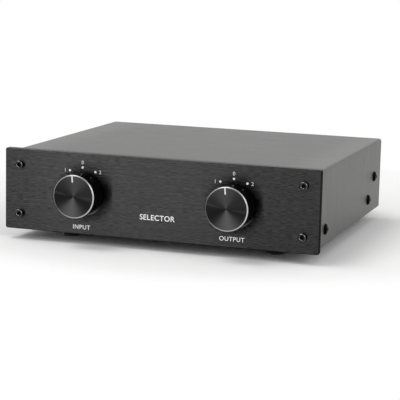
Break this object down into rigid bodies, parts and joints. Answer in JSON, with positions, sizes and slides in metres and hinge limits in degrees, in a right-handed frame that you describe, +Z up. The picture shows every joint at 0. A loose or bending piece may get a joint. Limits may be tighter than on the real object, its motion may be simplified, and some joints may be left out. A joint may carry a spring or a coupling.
{
  "type": "speaker selector switch",
  "caption": "Low black metal box with two rotary selector knobs and rear binding posts, for switching amplifiers and pairs of speakers.",
  "frame": {"origin": "on the standing plane, under the middle of the whole object, knobs and binding posts included", "axes": "+X to the right as seen by the user, +Y to the back, +Z up; the front panel faces -Y"},
  "size_m": [0.225, 0.2322, 0.0636],
  "materials": {
    "black_anodised_panel": "horizontally brushed, black anodised",
    "black_anodised_cover": "finely brushed, black anodised",
    "black_anodised_knob": "turned and black anodised, spun face, bright cut chamfer",
    "black_coated_sheet": "satin black coat on steel sheet",
    "black_steel": "black oxide",
    "zinc_steel": "zinc plated",
    "bright_steel": "ground",
    "rubber": "matt",
    "gilded_brass": "thin gold plate on turned brass",
    "silvered_brass": "silver plate",
    "red_plastic": "moulded",
    "black_plastic": "moulded",
    "phenolic": "laminated board",
    "red_wire": "flexible insulation",
    "black_wire": "flexible insulation",
    "white_ink": "screen print and pointer paint"
  },
  "bodies": {
    "chassis": {"front_panel": "black_anodised_panel", "top_cover": "black_anodised_cover", "chassis_tray": "black_coated_sheet", "rear_panel": "black_coated_sheet", "rubber_feet": "rubber", "foot_screws": "zinc_steel", "foot_nuts": "zinc_steel", "panel_screws": "black_steel", "panel_clinch_nuts": "zinc_steel", "cover_screws": "black_steel", "cover_clinch_nuts": "zinc_steel", "left_switch_plate": "zinc_steel", "left_index_frame": "zinc_steel", "left_click_spring": "bright_steel", "left_wafers": "phenolic", "right_switch_plate": "zinc_steel", "right_index_frame": "zinc_steel", "right_click_spring": "bright_steel", "right_wafers": "phenolic", "contact_clips": "silvered_brass", "tie_screws": "zinc_steel", "tie_spacers": "zinc_steel", "bushing_nuts": "zinc_steel", "bushing_washers": "zinc_steel", "binding_post_studs": "gilded_brass", "red_post_bases": "red_plastic", "black_post_bases": "black_plastic", "inner_insulators": "black_plastic", "solder_terminals": "gilded_brass", "post_nuts": "gilded_brass", "red_wires": "red_wire", "black_wires": "black_wire"},
    "left_selector": {"left_knob": "black_anodised_knob", "left_set_screw": "black_steel", "left_shaft": "bright_steel", "left_detent_wheel": "bright_steel", "left_rotors": "phenolic", "left_rotor_blades": "silvered_brass"},
    "right_selector": {"right_knob": "black_anodised_knob", "right_set_screw": "black_steel", "right_shaft": "bright_steel", "right_detent_wheel": "bright_steel", "right_rotors": "phenolic", "right_rotor_blades": "silvered_brass"},
    "amp_1_left_plus_cap": {"amp_1_left_plus_cap": "red_plastic"},
    "amp_1_left_minus_cap": {"amp_1_left_minus_cap": "black_plastic"},
    "amp_1_right_plus_cap": {"amp_1_right_plus_cap": "red_plastic"},
    "amp_1_right_minus_cap": {"amp_1_right_minus_cap": "black_plastic"},
    "amp_2_left_plus_cap": {"amp_2_left_plus_cap": "red_plastic"},
    "amp_2_left_minus_cap": {"amp_2_left_minus_cap": "black_plastic"},
    "amp_2_right_plus_cap": {"amp_2_right_plus_cap": "red_plastic"},
    "amp_2_right_minus_cap": {"amp_2_right_minus_cap": "black_plastic"},
    "speaker_1_left_plus_cap": {"speaker_1_left_plus_cap": "red_plastic"},
    "speaker_1_left_minus_cap": {"speaker_1_left_minus_cap": "black_plastic"},
    "speaker_1_right_plus_cap": {"speaker_1_right_plus_cap": "red_plastic"},
    "speaker_1_right_minus_cap": {"speaker_1_right_minus_cap": "black_plastic"},
    "speaker_2_left_plus_cap": {"speaker_2_left_plus_cap": "red_plastic"},
    "speaker_2_left_minus_cap": {"speaker_2_left_minus_cap": "black_plastic"},
    "speaker_2_right_plus_cap": {"speaker_2_right_plus_cap": "red_plastic"},
    "speaker_2_right_minus_cap": {"speaker_2_right_minus_cap": "black_plastic"}
  },
  "joints": [
    {"name": "left_selector_turn", "type": "hinge", "parent": "chassis", "child": "left_selector", "pos_m": [-0.054, -0.09895, 0.0359], "axis": [0, 1, 0], "range_deg": [-30, 30], "deforming": ["left_click_spring"]},
    {"name": "right_selector_turn", "type": "hinge", "parent": "chassis", "child": "right_selector", "pos_m": [0.054, -0.09895, 0.0359], "axis": [0, 1, 0], "range_deg": [-30, 30], "deforming": ["right_click_spring"]},
    {"name": "amp_1_left_plus_cap_unscrew", "type": "slide", "parent": "chassis", "child": "amp_1_left_plus_cap", "axis": [0, 1, 0], "range_m": [0, 0.005]},
    {"name": "amp_1_left_minus_cap_unscrew", "type": "slide", "parent": "chassis", "child": "amp_1_left_minus_cap", "axis": [0, 1, 0], "range_m": [0, 0.005]},
    {"name": "amp_1_right_plus_cap_unscrew", "type": "slide", "parent": "chassis", "child": "amp_1_right_plus_cap", "axis": [0, 1, 0], "range_m": [0, 0.005]},
    {"name": "amp_1_right_minus_cap_unscrew", "type": "slide", "parent": "chassis", "child": "amp_1_right_minus_cap", "axis": [0, 1, 0], "range_m": [0, 0.005]},
    {"name": "amp_2_left_plus_cap_unscrew", "type": "slide", "parent": "chassis", "child": "amp_2_left_plus_cap", "axis": [0, 1, 0], "range_m": [0, 0.005]},
    {"name": "amp_2_left_minus_cap_unscrew", "type": "slide", "parent": "chassis", "child": "amp_2_left_minus_cap", "axis": [0, 1, 0], "range_m": [0, 0.005]},
    {"name": "amp_2_right_plus_cap_unscrew", "type": "slide", "parent": "chassis", "child": "amp_2_right_plus_cap", "axis": [0, 1, 0], "range_m": [0, 0.005]},
    {"name": "amp_2_right_minus_cap_unscrew", "type": "slide", "parent": "chassis", "child": "amp_2_right_minus_cap", "axis": [0, 1, 0], "range_m": [0, 0.005]},
    {"name": "speaker_1_left_plus_cap_unscrew", "type": "slide", "parent": "chassis", "child": "speaker_1_left_plus_cap", "axis": [0, 1, 0], "range_m": [0, 0.005]},
    {"name": "speaker_1_left_minus_cap_unscrew", "type": "slide", "parent": "chassis", "child": "speaker_1_left_minus_cap", "axis": [0, 1, 0], "range_m": [0, 0.005]},
    {"name": "speaker_1_right_plus_cap_unscrew", "type": "slide", "parent": "chassis", "child": "speaker_1_right_plus_cap", "axis": [0, 1, 0], "range_m": [0, 0.005]},
    {"name": "speaker_1_right_minus_cap_unscrew", "type": "slide", "parent": "chassis", "child": "speaker_1_right_minus_cap", "axis": [0, 1, 0], "range_m": [0, 0.005]},
    {"name": "speaker_2_left_plus_cap_unscrew", "type": "slide", "parent": "chassis", "child": "speaker_2_left_plus_cap", "axis": [0, 1, 0], "range_m": [0, 0.005]},
    {"name": "speaker_2_left_minus_cap_unscrew", "type": "slide", "parent": "chassis", "child": "speaker_2_left_minus_cap", "axis": [0, 1, 0], "range_m": [0, 0.005]},
    {"name": "speaker_2_right_plus_cap_unscrew", "type": "slide", "parent": "chassis", "child": "speaker_2_right_plus_cap", "axis": [0, 1, 0], "range_m": [0, 0.005]},
    {"name": "speaker_2_right_minus_cap_unscrew", "type": "slide", "parent": "chassis", "child": "speaker_2_right_minus_cap", "axis": [0, 1, 0], "range_m": [0, 0.005]}
  ]
}
